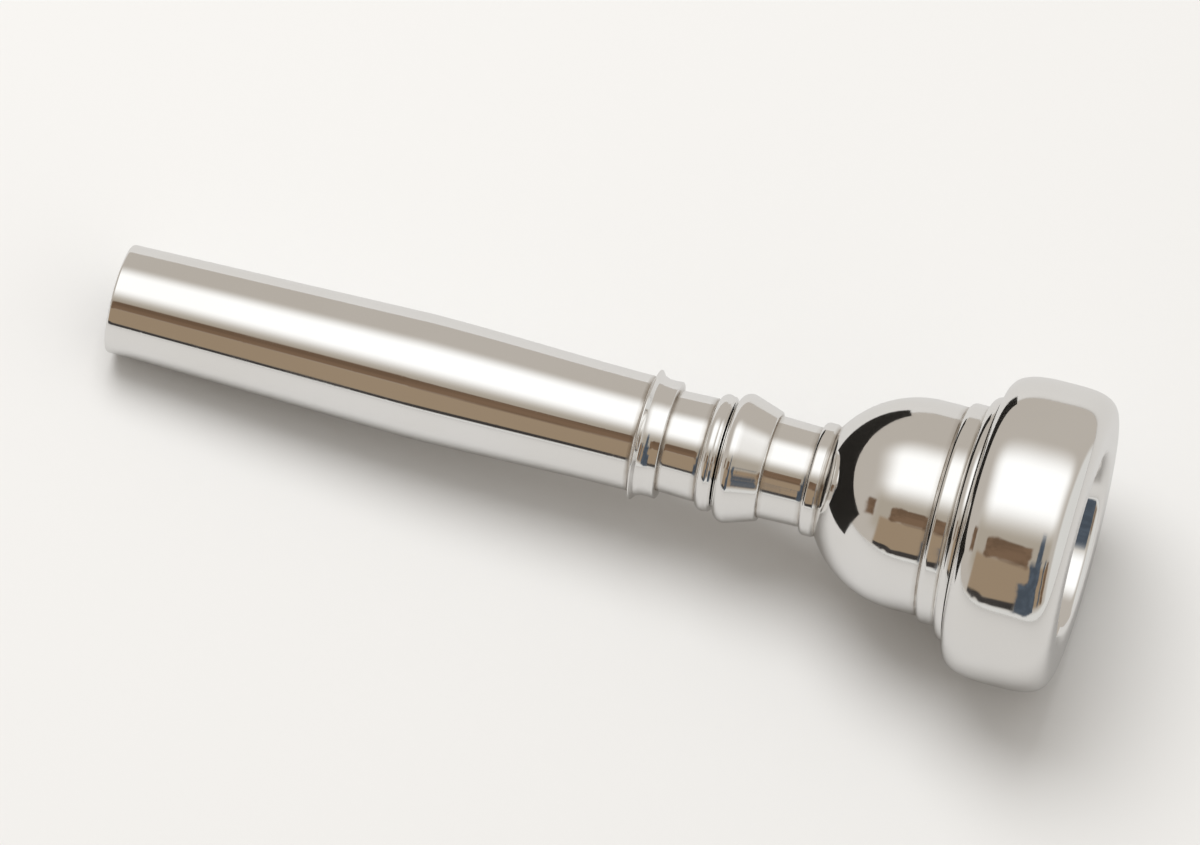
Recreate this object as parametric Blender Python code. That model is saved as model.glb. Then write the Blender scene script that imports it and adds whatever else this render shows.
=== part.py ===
"""Trumpet mouthpiece of the screw-together kind: rim, cup and backbore, with a rubber seal in each joint.

It lies along X: the rim faces +X and the shank's tip faces -X, with the origin on the axis, midway between them.
Every piece is turned, so it is drawn as a closed outline of stations (s, r) in millimetres. s is the distance
from the rim's crest towards the tip, and r is the radius. Both threads are right-handed.
"""

import math

import bmesh
import bpy

MM = 0.001
LENGTH = 87.0

# Facets round each piece. Multiples of four keep the bounding box centred on the axis.
RIM_FACETS = 40
CUP_FACETS = 36
BACKBORE_FACETS = 28
FACET_TURN = 15.0  # degrees an arc turns between two of its stations
SEAL_TURN = 45.0  # the same for a seal's section
MERGE = 0.001  # vertices nearer than this are one
SHARP_ANGLE = 28.0  # an edge that turns more than this is shaded sharp

# Edges that several places share
CHAMFER = 0.15
LEAD_IN = 0.2  # a thread's end
SCORE_WIDTH = 0.1  # the scored line where a bead meets a plain length
SCORE_DEPTH = 0.04

# Rim
RIM_RADIUS = 13.5
CREST_INNER = 9.1
CREST_OUTER = 10.3
BAND_CREST = 4.6  # the station where the rim is widest
FRONT_POWER = 3.4  # of the rounding from there to the crest: 2 would be an ellipse, and more is squarer
BACK_FACE = 9.6
BACK_FACE_RADIUS = 11.0
BACK_POWER = 3.0
BITE_RADIUS = 0.8  # rounding from the crest into the cup
WALL_SLOPE = 8.0  # degrees between the cup's upper wall and the axis
INNER_SEAM = 3.6
SEAM_GAP = 0.1

# Rim thread
PITCH = 1.0
TOOTH_TOP = 0.15
TOOTH_FOOT = 0.75
RUN_OUT = 0.5
RIM_THREAD = (4.0, 7.4)
RIM_MALE_ROOT = 9.1
RIM_MALE_CREST = 9.65
THREAD_CLEARANCE = 0.1

# Seal in the rim's mouth
LAND_START = 7.9
LAND_RADIUS = 10.0
LAND_CLEARANCE = 0.1
RIM_GROOVE = (7.7, 8.95)
RIM_GROOVE_RADIUS = 11.08
RIM_SEAL_STATION = 8.35
RIM_SEAL_RADIUS = 10.545
RIM_SEAL_SECTION = 0.48

# Cup, outside
FLANGE_FACE = 9.72
FLANGE_RADIUS = 10.9
FLANGE_ROUND = 0.95
BAND = (10.8, 12.5)
BAND_RADIUS = 9.8
BAND_FRONT_EDGE = (0.25, 0.12)  # along and in
BAND_BACK_EDGE = (0.6, 0.4)
BOWL_START = 12.6
BOWL_RADIUS = 9.3
BOWL_ARC = 9.45
BOWL_ARC_START = 14.9
COLLAR = (22.95, 24.35)
COLLAR_RADIUS = 5.02
COLLAR_FRONT_EDGE = 0.3
COLLAR_BACK_EDGE = 0.45
STEM_START = 24.5
STEM_RADIUS = 4.44
STEM_FLARE = 0.1
BEAD_START = 28.2
BEAD_STEP = 4.9
BEAD_RADIUS = 5.74
BEAD_ROUND = 1.0
BEAD_CREST = 31.05
CUP_END = 32.15
CUP_END_RADIUS = 5.0

# Cup, inside
CUP_DEPTH = 11.4  # of the ellipse that the bowl is part of
THROAT_RADIUS = 1.83
SOCKET_BOTTOM = 25.1
BACKBORE_THREAD = (25.6, 30.2)
BACKBORE_MALE_ROOT = 2.7
BACKBORE_MALE_CREST = 3.25
COUNTERBORE_START = 30.6
COUNTERBORE_RADIUS = 4.1

# Backbore
NOSE = 25.25
NOSE_RADIUS = 2.35
GROOVE_START = 31.05
GROOVE_RADIUS = 3.1
BACKBORE_FACE = 32.27
BACKBORE_SEAL_STATION = 31.7
BACKBORE_SEAL_RADIUS = 3.6
BACKBORE_SEAL_SECTION = 0.42
SMALL_BEAD_END = 33.8
SMALL_BEAD_RADIUS = 5.2
SMALL_BEAD_ROUND = 0.7
NECK_START = 33.95
NECK_RADIUS = 4.62
NECK_END_RADIUS = 4.5
RING_START = 37.25
RING_STEP = 5.22
RING_COVE = 5.17
RING_RIDGE_STATION = 39.35
RING_RIDGE = 5.78
SHANK_START = 39.65
SHANK_RADIUS = 5.12
SWELL_STATION = 60.0
SWELL_RADIUS = 5.5
TIP_RADIUS = 4.83
TIP_BORE = 4.3
BORE_START = 28.0
BORE_OPENING = 0.85  # power of the backbore's opening: 1 is a plain cone

SILVER_PLATE = ((0.82, 0.79, 0.74), 0.09, 1.0)
BLACK_RUBBER = ((0.02, 0.02, 0.02), 0.6, 0.0)


def at(s, r):
    """A station that is the same all the way round."""
    return lambda turn: (s, r)


def arc(centre, radius, start, end, facet_turn=FACET_TURN):
    """Stations round an arc. Angles are in degrees from straight outwards, positive towards the tip."""
    steps = max(2, round(abs(end - start) / facet_turn))
    angles = [math.radians(start + (end - start) * step / steps) for step in range(steps + 1)]
    return [at(centre[0] + radius * math.sin(a), centre[1] + radius * math.cos(a)) for a in angles]


def thread_row(station, radius, zone, root):
    """One edge of a thread, which runs forward as it turns and fades into the root at both ends of its zone."""

    def row(turn):
        s = min(max(station - PITCH * turn, zone[0]), zone[1])
        rise = min(1.0, (s - zone[0]) / RUN_OUT, (zone[1] - s) / RUN_OUT)
        return s, root + (radius - root) * rise

    return row


def thread(zone, root, crest, phase):
    """The rows of a right-hand thread: four edges for each tooth, from the front of the zone to its back."""
    first = math.floor((zone[0] - phase) / PITCH) - 1
    last = math.ceil((zone[1] - phase) / PITCH) + 1
    edges = ((-TOOTH_FOOT, root), (-TOOTH_TOP, crest), (TOOTH_TOP, crest), (TOOTH_FOOT, root))
    return [
        thread_row(phase + tooth * PITCH + offset / 2, radius, zone, root)
        for tooth in range(first, last + 1)
        for offset, radius in edges
    ]


def male_thread(zone, root, crest):
    return thread(zone, root, crest, zone[0])


def female_thread(zone, root, crest):
    """The thread that meets male_thread: its teeth stand in the other's grooves, clear of them all round."""
    grown = (zone[0] - THREAD_CLEARANCE, zone[1] + THREAD_CLEARANCE)
    outer, inner = crest + THREAD_CLEARANCE, root + THREAD_CLEARANCE
    return thread(grown, outer, inner, zone[0] + PITCH / 2)


def rounding(centre, depth, width, power, start, end):
    """Points of a superellipse round a centre. Angles are in degrees from straight outwards, positive back."""
    steps = round(abs(end - start) / FACET_TURN) + 2
    rows = []
    for step in range(steps + 1):
        angle = math.radians(start + (end - start) * step / steps)
        back = math.copysign(abs(math.sin(angle)) ** (2 / power), angle)
        out = abs(math.cos(angle)) ** (2 / power)
        rows.append(at(centre[0] + depth * back, centre[1] + width * out))
    return rows


def seam_radius():
    """The radius of the cup's wall where the rim meets the cup: the wall runs straight down from the bite."""
    slope = math.radians(WALL_SLOPE)
    wall_top = BITE_RADIUS * (1 - math.sin(slope))
    return CREST_INNER - BITE_RADIUS * math.cos(slope) - (INNER_SEAM - wall_top) * math.tan(slope)


def rim_rows():
    mouth = LAND_RADIUS + LAND_CLEARANCE
    front_width = RIM_RADIUS - CREST_OUTER
    back_width = RIM_RADIUS - BACK_FACE_RADIUS
    back_depth = BACK_FACE - BAND_CREST
    outside = [
        at(0, CREST_INNER),
        *rounding((BAND_CREST, CREST_OUTER), BAND_CREST, front_width, FRONT_POWER, -90, 0),
        *rounding((BAND_CREST, BACK_FACE_RADIUS), back_depth, back_width, BACK_POWER, 0, 90)[1:],
    ]
    seal_groove = [
        at(BACK_FACE, mouth + CHAMFER),
        at(BACK_FACE - CHAMFER, mouth),
        at(RIM_GROOVE[1], mouth),
        at(RIM_GROOVE[1], RIM_GROOVE_RADIUS),
        at(RIM_GROOVE[0], RIM_GROOVE_RADIUS),
        at(RIM_GROOVE[0], RIM_MALE_CREST + THREAD_CLEARANCE),
    ]
    inside = [
        at(INNER_SEAM, RIM_MALE_CREST + THREAD_CLEARANCE),
        at(INNER_SEAM, seam_radius()),
        *arc((BITE_RADIUS, CREST_INNER), -BITE_RADIUS, WALL_SLOPE, 90)[:-1],
    ]
    female = female_thread(RIM_THREAD, RIM_MALE_ROOT, RIM_MALE_CREST)
    return outside + seal_groove + female[::-1] + inside


def cup_outside():
    collar_foot = COLLAR_RADIUS - CHAMFER
    bowl_end = math.degrees(math.acos((collar_foot - BOWL_RADIUS + BOWL_ARC) / BOWL_ARC))
    flange = [
        at(FLANGE_FACE, LAND_RADIUS),
        *arc((FLANGE_FACE + 0.05, FLANGE_RADIUS - FLANGE_ROUND), FLANGE_ROUND, 0, 90),
        at(BAND[0] - SCORE_WIDTH, BAND_RADIUS - CHAMFER),
    ]
    band = [
        at(BAND[0], BAND_RADIUS - BAND_FRONT_EDGE[1]),
        at(BAND[0] + BAND_FRONT_EDGE[0], BAND_RADIUS),
        at(BAND[1] - BAND_BACK_EDGE[0], BAND_RADIUS),
        at(BAND[1] - BAND_BACK_EDGE[0] / 3, BAND_RADIUS - CHAMFER),
        at(BAND[1], BAND_RADIUS - BAND_BACK_EDGE[1]),
        at(BAND[1], BOWL_RADIUS - 2 * SCORE_DEPTH),
        at(BOWL_START, BOWL_RADIUS - 2 * SCORE_DEPTH),
        at(BOWL_START + SCORE_WIDTH, BOWL_RADIUS),
    ]
    bowl = arc((BOWL_ARC_START, BOWL_RADIUS - BOWL_ARC), BOWL_ARC, 0, bowl_end)
    collar = [
        at(COLLAR[0] + 0.05, collar_foot),
        at(COLLAR[0] + COLLAR_FRONT_EDGE, COLLAR_RADIUS),
        at(COLLAR[1] - 0.4, COLLAR_RADIUS - 0.02),
        at(COLLAR[1] - 0.1, COLLAR_RADIUS - 0.2),
        at(COLLAR[1], COLLAR_RADIUS - COLLAR_BACK_EDGE),
        at(COLLAR[1], STEM_RADIUS - SCORE_DEPTH),
    ]
    stem = [
        at(STEM_START, STEM_RADIUS),
        at(BEAD_START - SCORE_WIDTH, STEM_RADIUS + STEM_FLARE),
        at(BEAD_START, STEM_RADIUS + STEM_FLARE - SCORE_DEPTH),
    ]
    slope = (BEAD_RADIUS - BEAD_STEP) / (BEAD_CREST - BEAD_START)
    bead = [
        at(BEAD_START, BEAD_STEP - 2 * SCORE_DEPTH),
        at(BEAD_START + 2 * SCORE_DEPTH, BEAD_STEP),
        at(BEAD_START + 1.0, BEAD_STEP + slope),
        *arc((BEAD_CREST, BEAD_RADIUS - BEAD_ROUND), BEAD_ROUND, -15, 75),
        at(CUP_END, CUP_END_RADIUS - CHAMFER),
    ]
    return flange + band + bowl + collar + stem + bead


def cup_bowl_inside():
    """The bowl that the lips' air fills: an ellipse from the rim's straight wall down to the throat."""
    first = math.atan(math.tan(math.radians(WALL_SLOPE)) * CUP_DEPTH / seam_radius())
    width = seam_radius() / math.cos(first)
    last = math.acos(THROAT_RADIUS / width)
    centre = INNER_SEAM + SEAM_GAP - CUP_DEPTH * math.sin(first)
    steps = 7
    angles = [first + (last - first) * step / steps for step in range(steps + 1)]
    return [at(centre + CUP_DEPTH * math.sin(a), width * math.cos(a)) for a in angles]


def cup_rows():
    front = INNER_SEAM + SEAM_GAP
    spigot = [
        at(front, RIM_MALE_ROOT - LEAD_IN),
        at(front + LEAD_IN, RIM_MALE_ROOT),
        *male_thread(RIM_THREAD, RIM_MALE_ROOT, RIM_MALE_CREST),
        at(LAND_START - LEAD_IN, RIM_MALE_ROOT),
        at(LAND_START, LAND_RADIUS - LEAD_IN),
        at(LAND_START + LEAD_IN, LAND_RADIUS),
    ]
    socket = [
        at(CUP_END, COUNTERBORE_RADIUS + CHAMFER),
        at(CUP_END - CHAMFER, COUNTERBORE_RADIUS),
        at(COUNTERBORE_START, COUNTERBORE_RADIUS),
        at(COUNTERBORE_START, BACKBORE_MALE_CREST + THREAD_CLEARANCE),
        *female_thread(BACKBORE_THREAD, BACKBORE_MALE_ROOT, BACKBORE_MALE_CREST)[::-1],
        at(SOCKET_BOTTOM, BACKBORE_MALE_CREST + THREAD_CLEARANCE),
        at(SOCKET_BOTTOM, THROAT_RADIUS),
    ]
    return spigot + cup_outside() + socket + cup_bowl_inside()[::-1]


def shank_rows():
    """The shank swells gently to where the receiver starts, then tapers to the tip."""
    steps = 5
    swell = []
    for step in range(steps + 1):
        share = step / steps
        ease = share * share * (3 - 2 * share)
        station = SHANK_START + (SWELL_STATION - SHANK_START) * share
        swell.append(at(station, SHANK_RADIUS + (SWELL_RADIUS - SHANK_RADIUS) * ease))
    taper = [at(LENGTH - CHAMFER, TIP_RADIUS), at(LENGTH, TIP_RADIUS - 0.1)]
    return swell + taper


def backbore_inside():
    """The backbore opens quickly behind the throat and slowly towards the tip."""
    steps = 8
    rows = [at(NOSE, THROAT_RADIUS + 0.05)]
    for step in range(steps + 1):
        share = step / steps
        opening = (TIP_BORE - THROAT_RADIUS) * share**BORE_OPENING
        rows.append(at(BORE_START + (LENGTH - BORE_START) * share, THROAT_RADIUS + opening))
    return rows


def backbore_rows():
    spigot = [
        at(NOSE, NOSE_RADIUS),
        at(NOSE + 0.25, BACKBORE_MALE_ROOT),
        *male_thread(BACKBORE_THREAD, BACKBORE_MALE_ROOT, BACKBORE_MALE_CREST),
        at(BACKBORE_THREAD[1] + 0.3, BACKBORE_MALE_CREST),
        at(GROOVE_START, BACKBORE_MALE_CREST),
        at(GROOVE_START, GROOVE_RADIUS),
        at(BACKBORE_FACE, GROOVE_RADIUS),
    ]
    bead = [
        at(BACKBORE_FACE, SMALL_BEAD_RADIUS - 0.3),
        at(BACKBORE_FACE + 0.2, SMALL_BEAD_RADIUS - 0.1),
        *arc((BACKBORE_FACE + 0.75, SMALL_BEAD_RADIUS - SMALL_BEAD_ROUND), SMALL_BEAD_ROUND, 0, 75),
        at(SMALL_BEAD_END, NECK_RADIUS - SCORE_DEPTH),
    ]
    neck = [
        at(NECK_START, NECK_RADIUS),
        at(RING_START - SCORE_WIDTH, NECK_END_RADIUS),
        at(RING_START, NECK_END_RADIUS - SCORE_DEPTH),
    ]
    ring = [
        at(RING_START, RING_STEP - 0.06),
        at(RING_START + 0.06, RING_STEP),
        at(RING_START + 0.5, RING_COVE),
        at(RING_RIDGE_STATION - 0.9, RING_COVE),
        at(RING_RIDGE_STATION - 0.35, RING_COVE + 0.2),
        at(RING_RIDGE_STATION - 0.05, RING_RIDGE),
        at(RING_RIDGE_STATION + 0.05, RING_RIDGE),
        at(RING_RIDGE_STATION + CHAMFER, SHANK_RADIUS + CHAMFER),
    ]
    return spigot + bead + neck + ring + shank_rows() + backbore_inside()[::-1]


def seal_rows(station, radius, section):
    return arc((station, radius), section, 0, 360, SEAL_TURN)[:-1]


def plain_material(name, look):
    colour, roughness, metallic = look
    material = bpy.data.materials.new(name)
    material.use_nodes = True
    shader = material.node_tree.nodes["Principled BSDF"]
    shader.inputs["Base Color"].default_value = (*colour, 1.0)
    shader.inputs["Roughness"].default_value = roughness
    shader.inputs["Metallic"].default_value = metallic
    return material


def turned(name, rows, facets, origin_station, look):
    """A piece turned about X from its closed outline, with its origin on the axis at origin_station.

    A thread's row ends one pitch further forward than it starts, on the row that is one tooth before it,
    so the outline is swept a full turn and its first and last columns are then welded.
    """
    work = bmesh.new()
    grid = []
    for row in rows:
        line = []
        for column in range(facets + 1):
            turn = column / facets
            s, r = row(turn)
            y, z = r * math.cos(math.tau * turn), r * math.sin(math.tau * turn)
            line.append(work.verts.new(((origin_station - s) * MM, y * MM, z * MM)))
        grid.append(line)
    for this, following in zip(grid, grid[1:] + grid[:1]):
        for column in range(facets):
            corners = (this[column], this[column + 1], following[column + 1], following[column])
            work.faces.new(corners)
    bmesh.ops.remove_doubles(work, verts=work.verts, dist=MERGE * MM)
    bmesh.ops.dissolve_degenerate(work, edges=work.edges, dist=MERGE * MM)
    bmesh.ops.triangulate(work, faces=work.faces)
    bmesh.ops.recalc_face_normals(work, faces=work.faces)
    mesh = bpy.data.meshes.new(name)
    work.to_mesh(mesh)
    work.free()
    mesh.shade_smooth()
    mesh.set_sharp_from_angle(angle=math.radians(SHARP_ANGLE))
    mesh.materials.append(plain_material(name, look))
    piece = bpy.data.objects.new(name, mesh)
    piece.location.x = (LENGTH / 2 - origin_station) * MM
    bpy.context.scene.collection.objects.link(piece)
    return piece


def main():
    for old in list(bpy.data.objects):
        bpy.data.objects.remove(old)
    turned("rim", rim_rows(), RIM_FACETS, INNER_SEAM, SILVER_PLATE)
    turned("cup", cup_rows(), CUP_FACETS, BOWL_ARC_START, SILVER_PLATE)
    turned("backbore", backbore_rows(), BACKBORE_FACETS, BACKBORE_FACE, SILVER_PLATE)
    rim_seal = seal_rows(RIM_SEAL_STATION, RIM_SEAL_RADIUS, RIM_SEAL_SECTION)
    turned("rim_seal_ring", rim_seal, CUP_FACETS, RIM_SEAL_STATION, BLACK_RUBBER)
    backbore_seal = seal_rows(BACKBORE_SEAL_STATION, BACKBORE_SEAL_RADIUS, BACKBORE_SEAL_SECTION)
    turned("backbore_seal_ring", backbore_seal, BACKBORE_FACETS, BACKBORE_SEAL_STATION, BLACK_RUBBER)


main()
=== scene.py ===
"""Looks for a screw-together trumpet mouthpiece: turned brass with bright silver plate, in a pale studio.

The mouthpiece lies along X, with its rim facing +X. Every metal piece is turned, so it is drawn as a closed
outline of stations (s, r) in millimetres. s is the distance from the rim's crest towards the shank's tip,
and r is the radius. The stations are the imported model's, with some chamfers drawn as roundings and every
corner eased, as a lathe and a polishing wheel leave it.
"""

import math

import bmesh
import bpy
import numpy as np
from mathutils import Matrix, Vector


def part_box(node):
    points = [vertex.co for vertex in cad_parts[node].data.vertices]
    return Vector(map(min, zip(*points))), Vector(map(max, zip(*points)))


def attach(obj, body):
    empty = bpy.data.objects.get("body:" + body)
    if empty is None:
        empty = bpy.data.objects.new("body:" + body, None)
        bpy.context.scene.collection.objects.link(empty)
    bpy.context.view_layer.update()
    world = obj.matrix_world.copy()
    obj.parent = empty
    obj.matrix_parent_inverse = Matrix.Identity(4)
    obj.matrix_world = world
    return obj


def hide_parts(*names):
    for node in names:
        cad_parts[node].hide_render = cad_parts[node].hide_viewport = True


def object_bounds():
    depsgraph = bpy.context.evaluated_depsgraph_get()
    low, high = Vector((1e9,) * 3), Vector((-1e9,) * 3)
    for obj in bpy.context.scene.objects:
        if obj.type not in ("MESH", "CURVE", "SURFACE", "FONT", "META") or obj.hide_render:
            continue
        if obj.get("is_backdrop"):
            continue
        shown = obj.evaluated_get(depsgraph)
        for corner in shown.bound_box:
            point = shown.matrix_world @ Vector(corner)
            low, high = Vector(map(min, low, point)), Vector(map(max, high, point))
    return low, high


MM = 0.001
COLUMNS = 192
SEAL_COLUMNS = 144
ARC_STEP = 5.0  # degrees an arc turns between two of its points
EASE = 0.05  # how far an eased corner reaches along either side
EASE_SHARE = 0.4  # it takes at most this share of either side
EASED_TURN = 20.0  # degrees an outline turns at a corner that is eased
EASE_STEPS = 4
BESIDE = 0.35  # how far from a corner the next point of a long straight is
LONG_STRAIGHT = 2.5 * BESIDE
TINY = 1e-6  # steps of an outline shorter than this have no direction
MERGE = 0.001  # vertices nearer than this are one
SHARP_ANGLE = 38.0  # what is left sharp is the threads' edges

# Edges that several places share
CHAMFER = 0.15
LEAD_IN = 0.2  # a thread's end
SCORE_WIDTH = 0.1  # the scored line where a bead meets a plain length
SCORE_DEPTH = 0.04

# Rim
RIM_RADIUS = 13.5
CREST_INNER = 9.1
CREST_OUTER = 10.3
BAND_CREST = 4.6  # the station where the rim is widest
FRONT_POWER = 3.4  # of the rounding from there to the crest: 2 would be an ellipse, and more is squarer
BACK_FACE = 9.6
BACK_FACE_RADIUS = 11.0
BACK_POWER = 3.0
ROUNDING_STEPS = 36
BITE_RADIUS = 0.8  # rounding from the crest into the cup
WALL_SLOPE = 8.0  # degrees between the cup's upper wall and the axis
INNER_SEAM = 3.6
SEAM_GAP = 0.1

# Rim thread
PITCH = 1.0
TOOTH_TOP = 0.15
TOOTH_FOOT = 0.75
RUN_OUT = 0.5
RIM_THREAD = (4.0, 7.4)
RIM_MALE_ROOT = 9.1
RIM_MALE_CREST = 9.65
THREAD_CLEARANCE = 0.1

# Seal in the rim's mouth
LAND_START = 7.9
LAND_RADIUS = 10.0
LAND_CLEARANCE = 0.1
RIM_GROOVE = (7.7, 8.95)
RIM_GROOVE_RADIUS = 11.08
RIM_SEAL_STATION = 8.35
RIM_SEAL_RADIUS = 10.545
RIM_SEAL_SECTION = 0.48

# Cup, outside
FLANGE_FACE = 9.72
FLANGE_RADIUS = 10.9
FLANGE_ROUND = 0.95
BAND = (10.8, 12.5)
BAND_RADIUS = 9.8
BAND_FRONT_EDGE = (0.25, 0.12)  # along and in
BAND_BACK_EDGE = 0.6
BAND_BACK_ROUND = 0.55
BOWL_START = 12.6
BOWL_RADIUS = 9.3
BOWL_ARC = 9.45
BOWL_ARC_START = 14.9
COLLAR = (22.95, 24.35)
COLLAR_RADIUS = 5.02
COLLAR_FRONT_EDGE = 0.3
COLLAR_BACK_ROUND = 0.45
STEM_START = 24.5
STEM_RADIUS = 4.44
STEM_FLARE = 0.1
BEAD_START = 28.2
BEAD_STEP = 4.9
BEAD_RADIUS = 5.74
BEAD_ROUND = 1.0
BEAD_CREST = 31.05
CUP_END = 32.15
CUP_END_RADIUS = 5.0

# Cup, inside
CUP_DEPTH = 11.4  # of the ellipse that the bowl is part of
THROAT_RADIUS = 1.83
SOCKET_BOTTOM = 25.1
BACKBORE_THREAD = (25.6, 30.2)
BACKBORE_MALE_ROOT = 2.7
BACKBORE_MALE_CREST = 3.25
COUNTERBORE_START = 30.6
COUNTERBORE_RADIUS = 4.1

# Backbore
NOSE = 25.25
NOSE_RADIUS = 2.35
GROOVE_START = 31.05
GROOVE_RADIUS = 3.1
BACKBORE_FACE = 32.27
BACKBORE_SEAL_STATION = 31.7
BACKBORE_SEAL_RADIUS = 3.6
BACKBORE_SEAL_SECTION = 0.42
SMALL_BEAD_END = 33.8
SMALL_BEAD_RADIUS = 5.2
SMALL_BEAD_ROUND = 0.7
NECK_START = 33.95
NECK_RADIUS = 4.62
NECK_END_RADIUS = 4.5
RING_START = 37.25
RING_STEP = 5.22
RING_COVE = 5.17
RING_RIDGE_STATION = 39.35
RING_RIDGE = 5.78
SHANK_START = 39.65
SHANK_RADIUS = 5.12
SWELL_STATION = 60.0
SWELL_RADIUS = 5.5
TIP_RADIUS = 4.83
TIP_BORE = 4.3
BORE_START = 28.0
BORE_OPENING = 0.85  # power of the backbore's opening: 1 is a plain cone
SWELL_STEPS = 16
BORE_STEPS = 24

# Where a surface counts as thread: the zone along the axis, and the radii between which it lies
THREAD_MARGIN = 0.3
BELOW_ROOT = 0.05
ABOVE_CREST = 0.15
THREAD_ZONES = (
    (RIM_THREAD, RIM_MALE_ROOT - BELOW_ROOT, RIM_MALE_CREST + ABOVE_CREST),
    (BACKBORE_THREAD, BACKBORE_MALE_ROOT - BELOW_ROOT, BACKBORE_MALE_CREST + ABOVE_CREST),
)

# Looks
SILVER = (0.955, 0.95, 0.94)
SILVER_WARM = (0.93, 0.92, 0.90)
# painted shade: a brownish darkening of the metal in its hollow corners, where shade falls
PAINTED_SHADE = (0.30, 0.235, 0.165)
BARE_BRASS = (0.80, 0.62, 0.33)
POLISH_ROUGHNESS = 0.035
SMUDGE_ROUGHNESS = 0.075
RUBBER = (0.012, 0.012, 0.013)
RUBBER_WORN = (0.03, 0.03, 0.031)
DUST = (0.18, 0.17, 0.16)
HOLLOW_TURN = 35.0  # degrees an outline turns at a hollow corner that gets painted shade
HOLLOW_REACH = 0.16  # how far the painted shade reaches out of it
LATHE_PITCH = 0.12  # between two of the lathe's marks
# scale per metre and detail of a noise
LATHE_NOISE = (1.0, 3.0)  # its place is already in lathe pitches
WAVE_NOISE = (240.0, 1.0)
GRAIN_NOISE = (9000.0, 3.0)
# the same, and then the value of the noise where the pattern starts and where it is full
SMUDGE = (190.0, 4.0, 0.48, 0.68)
CLOUD = (70.0, 3.0, 0.3, 0.7)
SCUFFS = (2600.0, 5.0, 0.60, 0.74)
WORN = (1400.0, 4.0, 0.35, 0.6)
DUSTY = (2500.0, 4.0, 0.58, 0.75)
# the next is the patchy pattern of the painted shade in the hollow corners
PAINTED_SHADE_PATCHES = (900.0, 4.0, 0.2, 0.7, 0.45, 1.0)  # and its least and its most
GRAIN_COLOUR = (0.3, 0.7)  # the grain where the rubber is darkest and palest
GRAIN_ROUGHNESS = (0.2, 0.8, 0.48, 0.66)  # the grain's ends, and the roughness there
# how strongly a pattern tints the metal or the rubber
WEAR_TINT = 0.6
# the next is how strongly the painted shade darkens the hollow corners
PAINTED_SHADE_TINT = 0.75
DUST_TINT = 0.35
# what each pattern adds to the metal's roughness
SCUFF_ROUGHNESS = 0.03
LATHE_ROUGHNESS = 0.02
PAINTED_SHADE_ROUGHNESS = 0.22
WEAR_ROUGHNESS = 0.16
# how deep each pattern is
WAVE_DEPTH = 0.004
LATHE_DEPTH = 0.0003
SCUFF_DEPTH = 0.0004
GRAIN_DEPTH = 0.006

# Camera
VIEW_AZIMUTH = 16.3
VIEW_ELEVATION = 62.5
LENS = 400.0  # long, so that there is hardly any perspective
SENSOR = 36.0
FRAME_WIDTH = 104.0  # what the frame takes in at the object, in mm
CLIP = (0.01, 20.0)

# Studio, as the metal mirrors it. Each panel spans angles over the object, in degrees from the front horizon
# (0) over the zenith (90) to the back horizon (180), and shares of a direction that point along X.
PALE_SWEEP = (0.68, 0.675, 0.655)
BEIGE_WALL = (0.485, 0.447, 0.402)
SOFTBOX = (1.10, 1.10, 1.09)
WARM_GREY = (0.40, 0.355, 0.295)
LIGHT_WOOD = (0.32, 0.24, 0.162)
DARK_WOOD = (0.185, 0.118, 0.074)
BLUE_CLOTH = (0.085, 0.105, 0.132)
DARK_FRAME = (0.05, 0.045, 0.042)
ROOM = (
    # colour, (angles), (X shares), softness of the edges in degrees and in X share
    (BEIGE_WALL, (3, 196), (-1.5, 0.72), (5, 0.10)),
    (WARM_GREY, (24, 78), (-0.62, 0.52), (22, 0.18)),
    (LIGHT_WOOD, (7, 40), (-0.50, 0.60), (5, 0.06)),
)
CLUTTER = (
    (DARK_WOOD, (39, 54), (-0.34, 0.02), (3, 0.04)),
    (DARK_WOOD, (36, 56), (-0.74, -0.62), (4, 0.04)),
    (DARK_WOOD, (8, 46), (0.50, 0.58), (4, 0.04)),
    (BLUE_CLOTH, (2, 26), (-0.06, 0.30), (3, 0.03)),
    (BLUE_CLOTH, (22, 44), (0.05, 0.30), (6, 0.04)),
    (BLUE_CLOTH, (38, 64), (0.14, 0.26), (8, 0.04)),
    (BLUE_CLOTH, (8, 46), (0.41, 0.46), (4, 0.03)),
    (DARK_FRAME, (3, 9), (-0.50, -0.06), (2, 0.03)),
)
SOFTBOX_SPAN = ((70, 124), (-0.54, 0.50), (28, 0.42))
CLUTTER_WARP = (6.0, 0.05)  # how far the clutter's edges wander, in degrees and in X share
CLUTTER_SHADE = 0.25  # how much the clutter's brightness varies
WANDER_NOISE = (4.1, 3.0)  # scale and detail
DRIFT_NOISE = (5.3, 3.0)
SHADE_PATTERN = (9.0, 3.0, 0.35, 0.65)  # and the noise where it is darkest and palest
BACKDROP = (0.86, 0.86, 0.855)
FLOOR_COLOUR = (0.80, 0.80, 0.795)
FLOOR_MIRRORED = (0.60, 0.598, 0.595)
FLOOR_RADIUS = 1.2  # metres, as the fade and the lamp are
FLOOR_SIDES = 96
FLOOR_GAP = 0.02  # under the object
FLOOR_FADE = (0.22, 0.9)
KEY_POWER = 2.6
KEY_SIZE = 0.45
KEY_PLACE = (-0.12, 0.16, 0.62)
CARD_STATION = 53.5  # of a black card across the object, which only the metal mirrors
CARD_SIDES = (-30.0, 110.0)
CARD_TOP = 19.0  # above the object's axis
# How far along X from the card a surface starts to mirror it, and mirrors it fully: just behind the collar
CARD_REACH = (27.0, 28.0)
CARD_TINT = (0.03, 0.028, 0.026)


# ---------------------------------------------------------------- outlines


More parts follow.
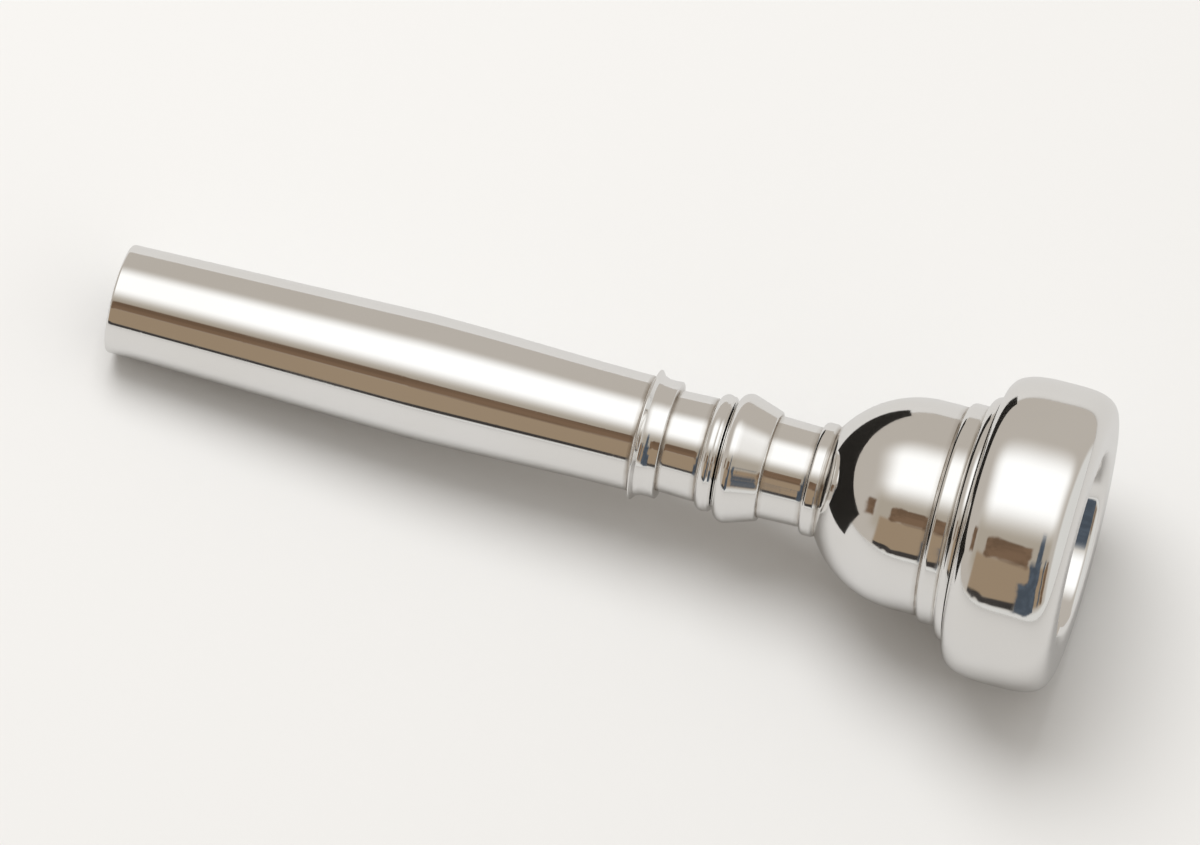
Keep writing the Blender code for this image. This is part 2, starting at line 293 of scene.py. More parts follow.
def arc(centre, radius, start, end):
    """Points round an arc. Angles are in degrees from straight outwards, positive towards the tip."""
    steps = max(2, round(abs(end - start) / ARC_STEP))
    angles = [math.radians(start + (end - start) * step / steps) for step in range(steps + 1)]
    return [(centre[0] + radius * math.sin(a), centre[1] + radius * math.cos(a)) for a in angles]


def thread_row(station, radius, zone, root):
    """One edge of a thread, which runs forward as it turns and fades into the root at the zone's ends."""

    def row(turn):
        s = np.clip(station - PITCH * turn, zone[0], zone[1])
        rise = np.minimum(1.0, np.minimum((s - zone[0]) / RUN_OUT, (zone[1] - s) / RUN_OUT))
        return s, root + (radius - root) * rise

    return row


def thread(zone, root, crest, phase):
    """The rows of a right-hand thread: four edges for each tooth, from the front of the zone to its back."""
    first = math.floor((zone[0] - phase) / PITCH) - 1
    last = math.ceil((zone[1] - phase) / PITCH) + 1
    edges = ((-TOOTH_FOOT, root), (-TOOTH_TOP, crest), (TOOTH_TOP, crest), (TOOTH_FOOT, root))
    return [
        thread_row(phase + tooth * PITCH + offset / 2, radius, zone, root)
        for tooth in range(first, last + 1)
        for offset, radius in edges
    ]


def male_thread(zone, root, crest):
    return thread(zone, root, crest, zone[0])


def female_thread(zone, root, crest):
    """The thread that meets male_thread: its teeth stand in the other's grooves, clear of them all round."""
    grown = (zone[0] - THREAD_CLEARANCE, zone[1] + THREAD_CLEARANCE)
    outer, inner = crest + THREAD_CLEARANCE, root + THREAD_CLEARANCE
    return thread(grown, outer, inner, zone[0] + PITCH / 2)


def corners(rows):
    """(index, turn, lean) of each plain corner: how far the outline turns there, and a lean that is positive
    where it is hollow."""
    found = []
    count = len(rows)
    for index, corner in enumerate(rows):
        before, after = rows[index - 1], rows[(index + 1) % count]
        if callable(before) or callable(corner) or callable(after):
            continue
        arriving = Vector(corner) - Vector(before)
        leaving = Vector(after) - Vector(corner)
        if min(arriving.length, leaving.length) < TINY:
            continue
        lean = arriving.x * leaving.y - arriving.y * leaving.x
        found.append((index, math.degrees(arriving.angle(leaving)), lean))
    return found


def eased(rows):
    """The outline with each of its corners rounded off a little."""
    turns = {index: turn for index, turn, _ in corners(rows)}
    result = []
    for index, corner in enumerate(rows):
        if turns.get(index, 0) < EASED_TURN:
            result.append(corner)
            continue
        here = Vector(corner)
        back = Vector(rows[index - 1]) - here
        forward = Vector(rows[(index + 1) % len(rows)]) - here
        reach = min(EASE, EASE_SHARE * back.length, EASE_SHARE * forward.length)
        start = here + back.normalized() * reach
        end = here + forward.normalized() * reach
        for step in range(EASE_STEPS + 1):
            share = step / EASE_STEPS
            point = start.lerp(here, share).lerp(here.lerp(end, share), share)
            result.append(tuple(point))
    return result


def supported(rows):
    """The outline with a point beside each end of every long straight, so that painted shade stays at its
    ends.
    """
    result = []
    for corner, following in zip(rows, rows[1:] + rows[:1]):
        result.append(corner)
        if callable(corner) or callable(following):
            continue
        along = Vector(following) - Vector(corner)
        if along.length > LONG_STRAIGHT:
            step = along.normalized() * BESIDE
            result.append(tuple(Vector(corner) + step))
            result.append(tuple(Vector(following) - step))
    return result


def rounding(centre, depth, width, power, start, end):
    """Points of a superellipse round a centre. Angles are degrees from straight outwards, positive back."""
    points = []
    for step in range(ROUNDING_STEPS + 1):
        angle = math.radians(start + (end - start) * step / ROUNDING_STEPS)
        back = math.copysign(abs(math.sin(angle)) ** (2 / power), angle)
        out = abs(math.cos(angle)) ** (2 / power)
        points.append((centre[0] + depth * back, centre[1] + width * out))
    return points


def seam_radius():
    """The radius of the cup's wall where the rim meets the cup: the wall runs straight down from the bite."""
    slope = math.radians(WALL_SLOPE)
    wall_top = BITE_RADIUS * (1 - math.sin(slope))
    return CREST_INNER - BITE_RADIUS * math.cos(slope) - (INNER_SEAM - wall_top) * math.tan(slope)


def rim_rows():
    mouth = LAND_RADIUS + LAND_CLEARANCE
    front_width = RIM_RADIUS - CREST_OUTER
    back_width = RIM_RADIUS - BACK_FACE_RADIUS
    back_depth = BACK_FACE - BAND_CREST
    outside = [
        (0, CREST_INNER),
        *rounding((BAND_CREST, CREST_OUTER), BAND_CREST, front_width, FRONT_POWER, -90, 0),
        *rounding((BAND_CREST, BACK_FACE_RADIUS), back_depth, back_width, BACK_POWER, 0, 90)[1:],
    ]
    seal_groove = [
        (BACK_FACE, mouth + CHAMFER),
        (BACK_FACE - CHAMFER, mouth),
        (RIM_GROOVE[1], mouth),
        (RIM_GROOVE[1], RIM_GROOVE_RADIUS),
        (RIM_GROOVE[0], RIM_GROOVE_RADIUS),
        (RIM_GROOVE[0], RIM_MALE_CREST + THREAD_CLEARANCE),
    ]
    inside = [
        (INNER_SEAM, RIM_MALE_CREST + THREAD_CLEARANCE),
        (INNER_SEAM, seam_radius()),
        *arc((BITE_RADIUS, CREST_INNER), -BITE_RADIUS, WALL_SLOPE, 90)[:-1],
    ]
    female = female_thread(RIM_THREAD, RIM_MALE_ROOT, RIM_MALE_CREST)
    return outside + seal_groove + female[::-1] + inside


def cup_outside():
    collar_foot = COLLAR_RADIUS - CHAMFER
    bowl_end = math.degrees(math.acos((collar_foot - BOWL_RADIUS + BOWL_ARC) / BOWL_ARC))
    flange = [
        (FLANGE_FACE, LAND_RADIUS),
        *arc((FLANGE_FACE + 0.05, FLANGE_RADIUS - FLANGE_ROUND), FLANGE_ROUND, 0, 90),
        (BAND[0] - SCORE_WIDTH, BAND_RADIUS - CHAMFER),
    ]
    band = [
        (BAND[0], BAND_RADIUS - BAND_FRONT_EDGE[1]),
        (BAND[0] + BAND_FRONT_EDGE[0], BAND_RADIUS),
        (BAND[1] - BAND_BACK_EDGE, BAND_RADIUS),
        *arc((BAND[1] - BAND_BACK_ROUND, BAND_RADIUS - BAND_BACK_ROUND), BAND_BACK_ROUND, 0, 80),
        (BAND[1], BOWL_RADIUS - 2 * SCORE_DEPTH),
        (BOWL_START, BOWL_RADIUS - 2 * SCORE_DEPTH),
        (BOWL_START + SCORE_WIDTH, BOWL_RADIUS),
    ]
    bowl = arc((BOWL_ARC_START, BOWL_RADIUS - BOWL_ARC), BOWL_ARC, 0, bowl_end)
    collar = [
        (COLLAR[0] + 0.05, collar_foot),
        (COLLAR[0] + COLLAR_FRONT_EDGE, COLLAR_RADIUS),
        *arc((COLLAR[1] - COLLAR_BACK_ROUND, COLLAR_RADIUS - COLLAR_BACK_ROUND), COLLAR_BACK_ROUND, 0, 90),
        (COLLAR[1], STEM_RADIUS - SCORE_DEPTH),
    ]
    stem = [
        (STEM_START, STEM_RADIUS),
        (BEAD_START - SCORE_WIDTH, STEM_RADIUS + STEM_FLARE),
        (BEAD_START, STEM_RADIUS + STEM_FLARE - SCORE_DEPTH),
    ]
    slope = (BEAD_RADIUS - BEAD_STEP) / (BEAD_CREST - BEAD_START)
    bead = [
        (BEAD_START, BEAD_STEP - 2 * SCORE_DEPTH),
        (BEAD_START + 2 * SCORE_DEPTH, BEAD_STEP),
        (BEAD_START + 1.0, BEAD_STEP + slope),
        *arc((BEAD_CREST, BEAD_RADIUS - BEAD_ROUND), BEAD_ROUND, -15, 75),
        (CUP_END, CUP_END_RADIUS - CHAMFER),
    ]
    return flange + band + bowl + collar + stem + bead


def cup_bowl_inside():
    """The bowl that the lips' air fills: an ellipse from the rim's straight wall down to the throat."""
    first = math.atan(math.tan(math.radians(WALL_SLOPE)) * CUP_DEPTH / seam_radius())
    width = seam_radius() / math.cos(first)
    last = math.acos(THROAT_RADIUS / width)
    centre = INNER_SEAM + SEAM_GAP - CUP_DEPTH * math.sin(first)
    steps = round(math.degrees(last - first) / ARC_STEP)
    angles = [first + (last - first) * step / steps for step in range(steps + 1)]
    return [(centre + CUP_DEPTH * math.sin(a), width * math.cos(a)) for a in angles]


def cup_rows():
    front = INNER_SEAM + SEAM_GAP
    spigot = [
        (front, RIM_MALE_ROOT - LEAD_IN),
        (front + LEAD_IN, RIM_MALE_ROOT),
        *male_thread(RIM_THREAD, RIM_MALE_ROOT, RIM_MALE_CREST),
        (LAND_START - LEAD_IN, RIM_MALE_ROOT),
        (LAND_START, LAND_RADIUS - LEAD_IN),
        (LAND_START + LEAD_IN, LAND_RADIUS),
    ]
    socket = [
        (CUP_END, COUNTERBORE_RADIUS + CHAMFER),
        (CUP_END - CHAMFER, COUNTERBORE_RADIUS),
        (COUNTERBORE_START, COUNTERBORE_RADIUS),
        (COUNTERBORE_START, BACKBORE_MALE_CREST + THREAD_CLEARANCE),
        *female_thread(BACKBORE_THREAD, BACKBORE_MALE_ROOT, BACKBORE_MALE_CREST)[::-1],
        (SOCKET_BOTTOM, BACKBORE_MALE_CREST + THREAD_CLEARANCE),
        (SOCKET_BOTTOM, THROAT_RADIUS),
    ]
    return spigot + cup_outside() + socket + cup_bowl_inside()[::-1]


def shank_rows():
    """The shank swells gently to where the receiver starts, then tapers to the tip."""
    swell = []
    for step in range(SWELL_STEPS + 1):
        share = step / SWELL_STEPS
        ease = share * share * (3 - 2 * share)
        station = SHANK_START + (SWELL_STATION - SHANK_START) * share
        swell.append((station, SHANK_RADIUS + (SWELL_RADIUS - SHANK_RADIUS) * ease))
    return swell + [(LENGTH - CHAMFER, TIP_RADIUS), (LENGTH, TIP_RADIUS - 0.1)]


def backbore_inside():
    """The backbore opens quickly behind the throat and slowly towards the tip."""
    points = [(NOSE, THROAT_RADIUS + 0.05)]
    for step in range(BORE_STEPS + 1):
        share = step / BORE_STEPS
        opening = (TIP_BORE - THROAT_RADIUS) * share**BORE_OPENING
        points.append((BORE_START + (LENGTH - BORE_START) * share, THROAT_RADIUS + opening))
    return points


def backbore_rows():
    spigot = [
        (NOSE, NOSE_RADIUS),
        (NOSE + 0.25, BACKBORE_MALE_ROOT),
        *male_thread(BACKBORE_THREAD, BACKBORE_MALE_ROOT, BACKBORE_MALE_CREST),
        (BACKBORE_THREAD[1] + 0.3, BACKBORE_MALE_CREST),
        (GROOVE_START, BACKBORE_MALE_CREST),
        (GROOVE_START, GROOVE_RADIUS),
        (BACKBORE_FACE, GROOVE_RADIUS),
    ]
    bead = [
        (BACKBORE_FACE, SMALL_BEAD_RADIUS - 0.3),
        (BACKBORE_FACE + 0.2, SMALL_BEAD_RADIUS - 0.1),
        *arc((BACKBORE_FACE + 0.75, SMALL_BEAD_RADIUS - SMALL_BEAD_ROUND), SMALL_BEAD_ROUND, -30, 75),
        (SMALL_BEAD_END, NECK_RADIUS - SCORE_DEPTH),
    ]
    neck = [
        (NECK_START, NECK_RADIUS),
        (RING_START - SCORE_WIDTH, NECK_END_RADIUS),
        (RING_START, NECK_END_RADIUS - SCORE_DEPTH),
    ]
    ring = [
        (RING_START, RING_STEP - 0.06),
        (RING_START + 0.06, RING_STEP),
        (RING_START + 0.5, RING_COVE),
        (RING_RIDGE_STATION - 0.9, RING_COVE),
        (RING_RIDGE_STATION - 0.35, RING_COVE + 0.2),
        (RING_RIDGE_STATION - 0.05, RING_RIDGE),
        (RING_RIDGE_STATION + 0.05, RING_RIDGE),
        (RING_RIDGE_STATION + CHAMFER, SHANK_RADIUS + CHAMFER),
    ]
    return spigot + bead + neck + ring + shank_rows() + backbore_inside()[::-1]


def seal_rows(station, radius, section):
    return arc((station, radius), section, 0, 360)[:-1]


# ---------------------------------------------------------------- meshes


def swept(name, rows, columns):
    """The mesh of a closed outline that is turned about X.

    A thread's row ends one pitch further forward than it starts, on the row that is one tooth before it. So
    the outline is swept a full turn, and its first and last columns are then welded.
    """
    turn = np.arange(columns + 1) / columns
    places = []
    for row in rows:
        s, r = row(turn) if callable(row) else (np.full_like(turn, row[0]), np.full_like(turn, row[1]))
        x = CREST_X - s * MM
        y = r * MM * np.cos(math.tau * turn)
        z = r * MM * np.sin(math.tau * turn)
        places.append(np.stack([x, y, z], axis=-1))
    grid = np.arange(len(rows) * (columns + 1)).reshape(len(rows), columns + 1)
    following = np.roll(grid, -1, axis=0)
    faces = np.stack([grid[:, :-1], grid[:, 1:], following[:, 1:], following[:, :-1]], axis=-1).reshape(-1, 4)
    mesh = bpy.data.meshes.new(name)
    mesh.from_pydata(np.concatenate(places).tolist(), [], faces.tolist())
    work = bmesh.new()
    work.from_mesh(mesh)
    bmesh.ops.remove_doubles(work, verts=work.verts, dist=MERGE * MM)
    bmesh.ops.dissolve_degenerate(work, edges=work.edges, dist=MERGE * MM)
    bmesh.ops.recalc_face_normals(work, faces=work.faces)
    work.to_mesh(mesh)
    work.free()
    return mesh


def add_attribute(mesh, name, values):
    attribute = mesh.attributes.new(name, "FLOAT", "POINT")
    attribute.data.foreach_set("value", values.astype(np.float32))


def mark(mesh, hollows):
    """Adds two attributes for the material. hollow is 1 in the outline's hollow corners, where the metal gets
    painted shade, and fades out of them, and thread is 1 on a thread."""
    points = np.empty(len(mesh.vertices) * 3, np.float32)
    mesh.vertices.foreach_get("co", points)
    points = points.reshape(-1, 3)
    stations = (CREST_X - points[:, 0]) / MM
    radii = np.hypot(points[:, 1], points[:, 2]) / MM
    hollow = np.zeros(len(points))
    for s, r in hollows:
        distance_squared = (stations - s) ** 2 + (radii - r) ** 2
        hollow = np.maximum(hollow, np.exp(-distance_squared / HOLLOW_REACH**2))
    add_attribute(mesh, "hollow", hollow)
    threaded = np.zeros(len(points))
    for zone, low, high in THREAD_ZONES:
        along = (stations > zone[0] - THREAD_MARGIN) & (stations < zone[1] + THREAD_MARGIN)
        threaded[along & (radii > low) & (radii < high)] = 1
    add_attribute(mesh, "thread", threaded)


def turned(name, rows, columns, material):
    """A piece turned about X from its closed outline."""
    hollows = [rows[index] for index, turn, lean in corners(rows) if turn > HOLLOW_TURN and lean > 0]
    mesh = swept(name, supported(eased(rows)), columns)
    mark(mesh, hollows)
    mesh.shade_smooth()
    mesh.set_sharp_from_angle(angle=math.radians(SHARP_ANGLE))
    mesh.materials.append(material)
    piece = bpy.data.objects.new(name, mesh)
    bpy.context.scene.collection.objects.link(piece)
    weighted = piece.modifiers.new("flats_keep_their_normals", "WEIGHTED_NORMAL")
    weighted.keep_sharp = True
    return piece


# ---------------------------------------------------------------- shader nodes


class Shader:
    """Adds nodes to a tree. Its methods take sockets or plain values, and return their output socket."""

    def __init__(self, tree):
        self.tree = tree
        tree.nodes.clear()

    def node(self, kind, **settings):
        made = self.tree.nodes.new(kind)
        for key, value in settings.items():
            setattr(made, key, value)
        return made

    def feed(self, socket, value):
        if isinstance(value, bpy.types.NodeSocket):
            self.tree.links.new(value, socket)
        else:
            socket.default_value = value

    def operation(self, kind, first, second=0.0):
        made = self.node("ShaderNodeMath", operation=kind)
        self.feed(made.inputs[0], first)
        self.feed(made.inputs[1], second)
        return made.outputs[0]

    def plus(self, first, second):
        return self.operation("ADD", first, second)

    def times(self, first, second):
        return self.operation("MULTIPLY", first, second)

    def split(self, vector):
        made = self.node("ShaderNodeSeparateXYZ")
        self.feed(made.inputs[0], vector)
        return made.outputs

    def join(self, x, y, z):
        made = self.node("ShaderNodeCombineXYZ")
        for socket, value in zip(made.inputs, (x, y, z)):
            self.feed(socket, value)
        return made.outputs[0]

    def ramp(self, value, start, end, low=0.0, high=1.0):
        """low up to start, high from end on, and a smooth step between them."""
        made = self.node("ShaderNodeMapRange", interpolation_type="SMOOTHSTEP")
        for socket, number in zip(made.inputs, (value, start, end, low, high)):
            self.feed(socket, number)
        return made.outputs[0]

    def mix(self, share, first, second):
        """first where share is 0 and second where it is 1: two colours."""
        made = self.node("ShaderNodeMix", data_type="RGBA")
        self.feed(made.inputs["Factor"], share)
        for name, value in (("A", first), ("B", second)):
            socket = next(s for s in made.inputs if s.name == name and s.type == "RGBA")
            self.feed(socket, (*value, 1.0) if isinstance(value, tuple) else value)
        return next(s for s in made.outputs if s.type == "RGBA")

    def noise(self, vector, scale, detail, fourth=None):
        made = self.node("ShaderNodeTexNoise", noise_dimensions="3D" if fourth is None else "4D")
        self.feed(made.inputs["Vector"], vector)
        self.feed(made.inputs["Scale"], scale)
        self.feed(made.inputs["Detail"], detail)
        if fourth is not None:
            self.feed(made.inputs["W"], fourth)
        return made.outputs["Fac"]

    def pattern(self, vector, scale, detail, start, end, low=0.0, high=1.0):
        """Noise that is low up to its start, high from its end on, and a smooth step between them."""
        return self.ramp(self.noise(vector, scale, detail), start, end, low, high)

    def attribute(self, name):
        return self.node("ShaderNodeAttribute", attribute_name=name).outputs["Fac"]

    def bump(self, height, depth, normal=None):
        """A normal that follows the height, where 1 stands depth mm proud of 0."""
        made = self.node("ShaderNodeBump")
        self.feed(made.inputs["Strength"], 1.0)
        self.feed(made.inputs["Distance"], depth * MM)
        self.feed(made.inputs["Height"], height)
        if normal is not None:
            self.feed(made.inputs["Normal"], normal)
        return made.outputs[0]

    def show(self, share, first, second):
        """The material is the first surface where share is 0 and the second where it is 1."""
        blend = self.node("ShaderNodeMixShader")
        for socket, value in zip(blend.inputs, (share, first, second)):
            self.feed(socket, value)
        output = self.node("ShaderNodeOutputMaterial")
        self.feed(output.inputs["Surface"], blend.outputs[0])


def empty_material(name):
    material = bpy.data.materials.new(name)
    material.use_nodes = True
    return material, Shader(material.node_tree)


def new_material(name):
    material, shader = empty_material(name)
    surface = shader.node("ShaderNodeBsdfPrincipled")
    output = shader.node("ShaderNodeOutputMaterial")
    shader.feed(output.inputs["Surface"], surface.outputs[0])
    return material, shader, surface


def lathe_marks(shader, place):
    """A lathe's marks run round the piece: they change fast along it and outwards, and slowly around it."""
    x, y, z = shader.split(place)
    radius = shader.operation("SQRT", shader.plus(shader.times(y, y), shader.times(z, z)))
    across = shader.operation("DIVIDE", y, radius)
    up = shader.operation("DIVIDE", z, radius)
    marks_per_metre = 1 / (LATHE_PITCH * MM)
    along = shader.times(x, marks_per_metre)
    outwards = shader.times(radius, marks_per_metre)
    return shader.noise(shader.join(along, outwards, across), *LATHE_NOISE, fourth=up)


def silver_plate():
    """Bright silver plate over turned brass: polishing lines round the piece, faint smudges and scuffs,
    painted shade, brown and darker, in the hollow corners, and threads where the plate has worn towards
    brass."""
    material, shader, surface = new_material("silver_plate")
    place = shader.node("ShaderNodeTexCoord").outputs["Object"]
    lathe_lines = lathe_marks(shader, place)
    smudge = shader.pattern(place, *SMUDGE)
    scuffs = shader.pattern(place, *SCUFFS)
    # painted shade in the hollow corners: darker and browner there, and a little rougher
    painted_shade = shader.times(shader.attribute("hollow"), shader.pattern(place, *PAINTED_SHADE_PATCHES))
    wear = shader.times(shader.attribute("thread"), shader.pattern(place, *WORN))

    colour = shader.mix(shader.pattern(place, *CLOUD), SILVER, SILVER_WARM)
    colour = shader.mix(shader.times(wear, WEAR_TINT), colour, BARE_BRASS)
    colour = shader.mix(shader.times(painted_shade, PAINTED_SHADE_TINT), colour, PAINTED_SHADE)
    shader.feed(surface.inputs["Base Color"], colour)
    shader.feed(surface.inputs["Metallic"], 1.0)

    roughness = shader.ramp(smudge, 0.0, 1.0, POLISH_ROUGHNESS, SMUDGE_ROUGHNESS)
    for pattern, rougher in (
        (scuffs, SCUFF_ROUGHNESS),
        (lathe_lines, LATHE_ROUGHNESS),
        (painted_shade, PAINTED_SHADE_ROUGHNESS),
        (wear, WEAR_ROUGHNESS),
    ):
        roughness = shader.plus(roughness, shader.times(pattern, rougher))
    shader.feed(surface.inputs["Roughness"], roughness)

    waviness = shader.bump(shader.noise(place, *WAVE_NOISE), WAVE_DEPTH)
    lines = shader.bump(lathe_lines, LATHE_DEPTH, waviness)
    shader.feed(surface.inputs["Normal"], shader.bump(scuffs, SCUFF_DEPTH, lines))
    return material


def black_rubber():
    """Moulded nitrile rubber: a fine matt grain and a little dust."""
    material, shader, surface = new_material("black_rubber")
    place = shader.node("ShaderNodeTexCoord").outputs["Object"]
    grain = shader.noise(place, *GRAIN_NOISE)
    dust = shader.pattern(place, *DUSTY)
    colour = shader.mix(shader.ramp(grain, *GRAIN_COLOUR), RUBBER, RUBBER_WORN)
    colour = shader.mix(shader.times(dust, DUST_TINT), colour, DUST)
    shader.feed(surface.inputs["Base Color"], colour)
    shader.feed(surface.inputs["Roughness"], shader.ramp(grain, *GRAIN_ROUGHNESS))
    shader.feed(surface.inputs["Normal"], shader.bump(grain, GRAIN_DEPTH))
    return material


# ---------------------------------------------------------------- studio


def angle_over(shader, y, z):
    """A direction's angle over the object: 0 at the front horizon, 90 at the zenith and 180 at the back."""
    degrees = shader.times(shader.operation("ARCTAN2", z, shader.times(y, -1.0)), math.degrees(1.0))
    wrapped = shader.operation("LESS_THAN", degrees, -90.0)
    return shader.plus(degrees, shader.times(wrapped, 360.0))


def wandering(shader, value, direction, noise, reach):
    """The value, moved up or down by a noise of the direction."""
    wander = shader.operation("SUBTRACT", shader.noise(direction, *noise), 0.5)
    return shader.plus(value, shader.times(wander, reach * 2))


def within(shader, value, span, soft):
    """1 inside the span and 0 outside it, with edges that are soft wide."""
    rising = shader.ramp(value, span[0] - soft / 2, span[0] + soft / 2)
    falling = shader.ramp(value, span[1] - soft / 2, span[1] + soft / 2, 1.0, 0.0)
    return shader.times(rising, falling)


def add_panel(shader, behind, degrees, x, colour, angles, shares, soft):
    """The colour inside the panel's angles and X shares, and what is behind it elsewhere."""
    mask = shader.times(within(shader, degrees, angles, soft[0]), within(shader, x, shares, soft[1]))
    return shader.mix(mask, behind, colour)


def studio_world():
    """A pale backdrop for the camera, and for the metal the studio round it: plain walls and a softbox with
    soft edges, and some clutter whose edges wander."""
    world = bpy.data.worlds.new("studio")
    world.use_nodes = True
    shader = Shader(world.node_tree)
    direction = shader.node("ShaderNodeTexCoord").outputs["Generated"]
    x, y, z = shader.split(direction)
    degrees = angle_over(shader, y, z)
    mirrored = PALE_SWEEP
    for panel in ROOM:
        mirrored = add_panel(shader, mirrored, degrees, x, *panel)
    warped_degrees = wandering(shader, degrees, direction, WANDER_NOISE, CLUTTER_WARP[0])
    warped_x = wandering(shader, x, direction, DRIFT_NOISE, CLUTTER_WARP[1])
    shade = shader.pattern(direction, *SHADE_PATTERN, 1 - CLUTTER_SHADE, 1.0)
    for colour, angles, shares, soft in CLUTTER:
        shaded = shader.mix(shade, (0.0, 0.0, 0.0), colour)
        mirrored = add_panel(shader, mirrored, warped_degrees, warped_x, shaded, angles, shares, soft)
    mirrored = add_panel(shader, mirrored, degrees, x, SOFTBOX, *SOFTBOX_SPAN)
    seen = shader.mix(shader.node("ShaderNodeLightPath").outputs["Is Camera Ray"], mirrored, BACKDROP)
    background = shader.node("ShaderNodeBackground")
    shader.feed(background.inputs["Color"], seen)
    output = shader.node("ShaderNodeOutputWorld")
    shader.feed(output.inputs["Surface"], background.outputs[0])
    bpy.context.scene.world = world


def floor():
    """A pale floor that touches the rim and the shank's tip, and fades into the backdrop further out."""
    tip = Vector((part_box("backbore")[0].x, 0, -TIP_RADIUS * MM))
    rim_foot = Vector((CREST_X - BAND_CREST * MM, 0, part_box("rim")[0].z))
    slope = math.atan2(rim_foot.z - tip.z, rim_foot.x - tip.x)
    mesh = bpy.data.meshes.new("floor")
    work = bmesh.new()
    bmesh.ops.create_circle(work, cap_ends=True, segments=FLOOR_SIDES, radius=FLOOR_RADIUS)
    work.to_mesh(mesh)
    work.free()
    disc = bpy.data.objects.new("floor", mesh)
    disc.rotation_euler = (0, -slope, 0)
    disc.location = (tip + rim_foot) / 2
    disc.location.z -= FLOOR_GAP * MM
    bpy.context.scene.collection.objects.link(disc)
    mesh.materials.append(floor_material())
    disc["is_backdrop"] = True


def floor_material():
    """Matt and pale, a little darker where the metal mirrors it, and clear further out."""
    material, shader = empty_material("floor")
    place = shader.node("ShaderNodeTexCoord").outputs["Object"]
    distance = shader.node("ShaderNodeVectorMath", operation="LENGTH")
    shader.feed(distance.inputs[0], place)
    path = shader.node("ShaderNodeLightPath")
    diffuse = shader.node("ShaderNodeBsdfDiffuse")
    colour = shader.mix(path.outputs["Is Glossy Ray"], FLOOR_COLOUR, FLOOR_MIRRORED)
    shader.feed(diffuse.inputs["Color"], colour)
    clear = shader.node("ShaderNodeBsdfTransparent")
    faded = shader.ramp(distance.outputs["Value"], *FLOOR_FADE)
    shader.show(faded, diffuse.outputs[0], clear.outputs[0])
    return material


def key_light():
    """A large soft lamp overhead for the floor's shadows. The metal mirrors the studio's softbox instead."""
    lamp = bpy.data.lights.new("key", "AREA")
    lamp.shape = "DISK"
    lamp.size = KEY_SIZE
    lamp.energy = KEY_POWER
    holder = bpy.data.objects.new("key", lamp)
    holder.location = KEY_PLACE
    holder.rotation_euler = (-Vector(KEY_PLACE)).to_track_quat("-Z", "Y").to_euler()
    holder.visible_glossy = False
    bpy.context.scene.collection.objects.link(holder)


def black_card():
    """A card that stands across the object, behind the bowl. Only the metal mirrors it."""
    mesh = bpy.data.meshes.new("black_card")
    work = bmesh.new()
    bmesh.ops.create_grid(work, x_segments=1, y_segments=1, size=0.5)
    work.to_mesh(mesh)
    work.free()
    card = bpy.data.objects.new("black_card", mesh)
    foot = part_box("backbore")[0].z
    card.scale = (CARD_TOP * MM - foot, (CARD_SIDES[1] - CARD_SIDES[0]) * MM, 1.0)
    card.rotation_euler = (0, math.radians(90), 0)
    card.location = (CREST_X - CARD_STATION * MM, sum(CARD_SIDES) / 2 * MM, (CARD_TOP * MM + foot) / 2)
    card.visible_camera = False
    card.visible_diffuse = False
    card.visible_shadow = False
    bpy.context.scene.collection.objects.link(card)
    mesh.materials.append(card_material())
    card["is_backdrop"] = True


def card_material():
    """Black for a surface that is far enough from the card along X, and clear for one that is nearer."""
    material, shader = empty_material("black_card")
    ray = shader.node("ShaderNodeLightPath").outputs["Ray Length"]
    share = shader.split(shader.node("ShaderNodeNewGeometry").outputs["Incoming"])[0]
    black = shader.node("ShaderNodeBsdfDiffuse")
    shader.feed(black.inputs["Color"], (*CARD_TINT, 1.0))
    clear = shader.node("ShaderNodeBsdfTransparent")
    far = shader.ramp(shader.times(ray, share), CARD_REACH[0] * MM, CARD_REACH[1] * MM)
    shader.show(far, clear.outputs[0], black.outputs[0])
    return material


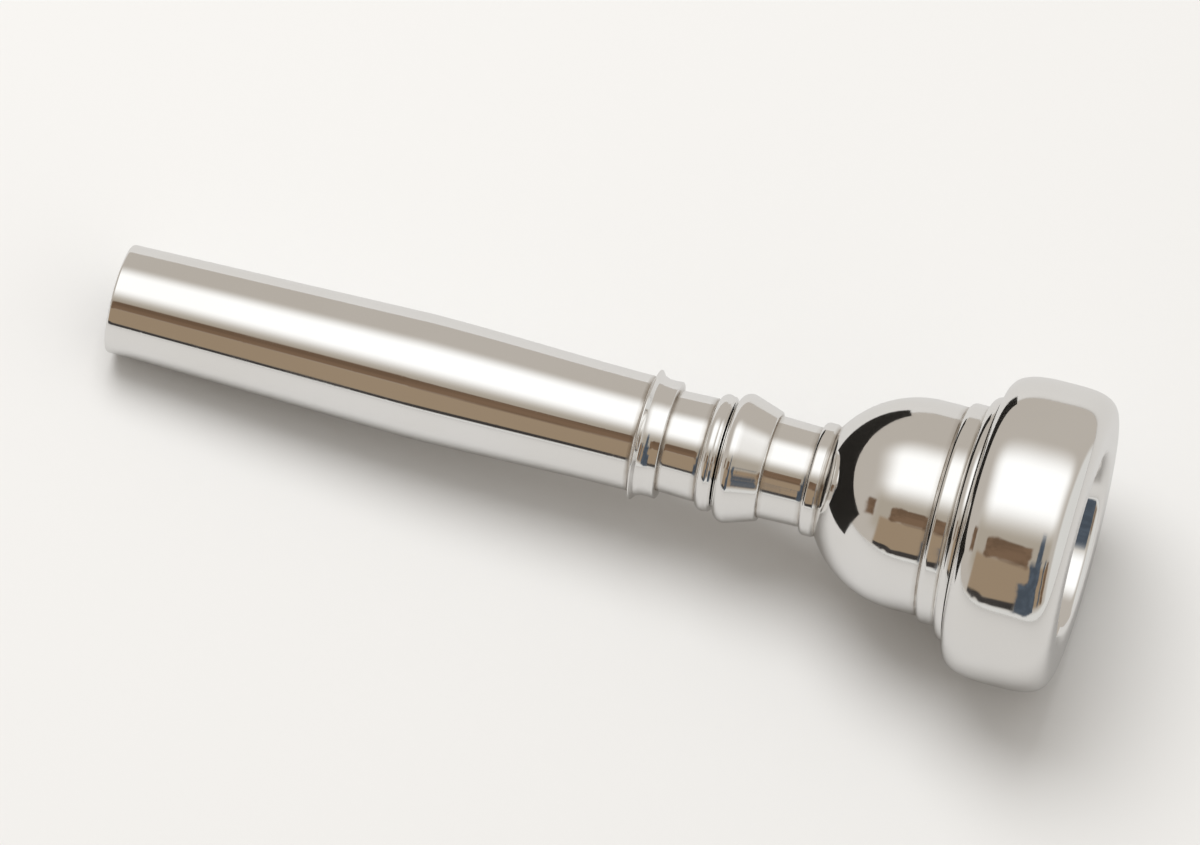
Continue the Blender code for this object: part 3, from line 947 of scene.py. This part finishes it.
def camera():
    low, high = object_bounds()
    target = (Vector(low) + Vector(high)) / 2
    azimuth, elevation = math.radians(VIEW_AZIMUTH), math.radians(VIEW_ELEVATION)
    level = math.cos(elevation)
    away = Vector((math.sin(azimuth) * level, -math.cos(azimuth) * level, math.sin(elevation)))
    data = bpy.data.cameras.new("camera")
    data.lens = LENS
    data.sensor_width = SENSOR
    data.clip_start, data.clip_end = CLIP
    holder = bpy.data.objects.new("camera", data)
    holder.location = target + away * (FRAME_WIDTH * MM * LENS / SENSOR)
    holder.rotation_euler = (-away).to_track_quat("-Z", "Y").to_euler()
    bpy.context.scene.collection.objects.link(holder)
    bpy.context.scene.camera = holder


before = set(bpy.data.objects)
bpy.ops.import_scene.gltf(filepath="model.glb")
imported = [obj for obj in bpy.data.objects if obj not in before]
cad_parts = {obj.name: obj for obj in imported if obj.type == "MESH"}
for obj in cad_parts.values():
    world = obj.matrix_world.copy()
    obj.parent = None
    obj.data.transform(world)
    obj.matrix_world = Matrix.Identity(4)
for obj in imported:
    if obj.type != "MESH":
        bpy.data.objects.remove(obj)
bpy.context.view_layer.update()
CREST_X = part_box("rim")[1].x
LENGTH = (CREST_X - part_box("backbore")[0].x) / MM

silver = silver_plate()
rubber = black_rubber()
rim_seal = seal_rows(RIM_SEAL_STATION, RIM_SEAL_RADIUS, RIM_SEAL_SECTION)
backbore_seal = seal_rows(BACKBORE_SEAL_STATION, BACKBORE_SEAL_RADIUS, BACKBORE_SEAL_SECTION)
for name, rows, columns, material, slot in (
    ("rim", rim_rows(), COLUMNS, silver, "silver_plate"),
    ("cup", cup_rows(), COLUMNS, silver, "silver_plate"),
    ("backbore", backbore_rows(), COLUMNS, silver, "silver_plate"),
    ("rim_seal_ring", rim_seal, SEAL_COLUMNS, rubber, "black_rubber"),
    ("backbore_seal_ring", backbore_seal, SEAL_COLUMNS, rubber, "black_rubber"),
):
    piece = turned(name + "_turned", rows, columns, material)
    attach(piece, name)
    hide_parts(name)

studio_world()
floor()
key_light()
black_card()
camera()
bpy.context.scene.view_settings.view_transform = "Standard"
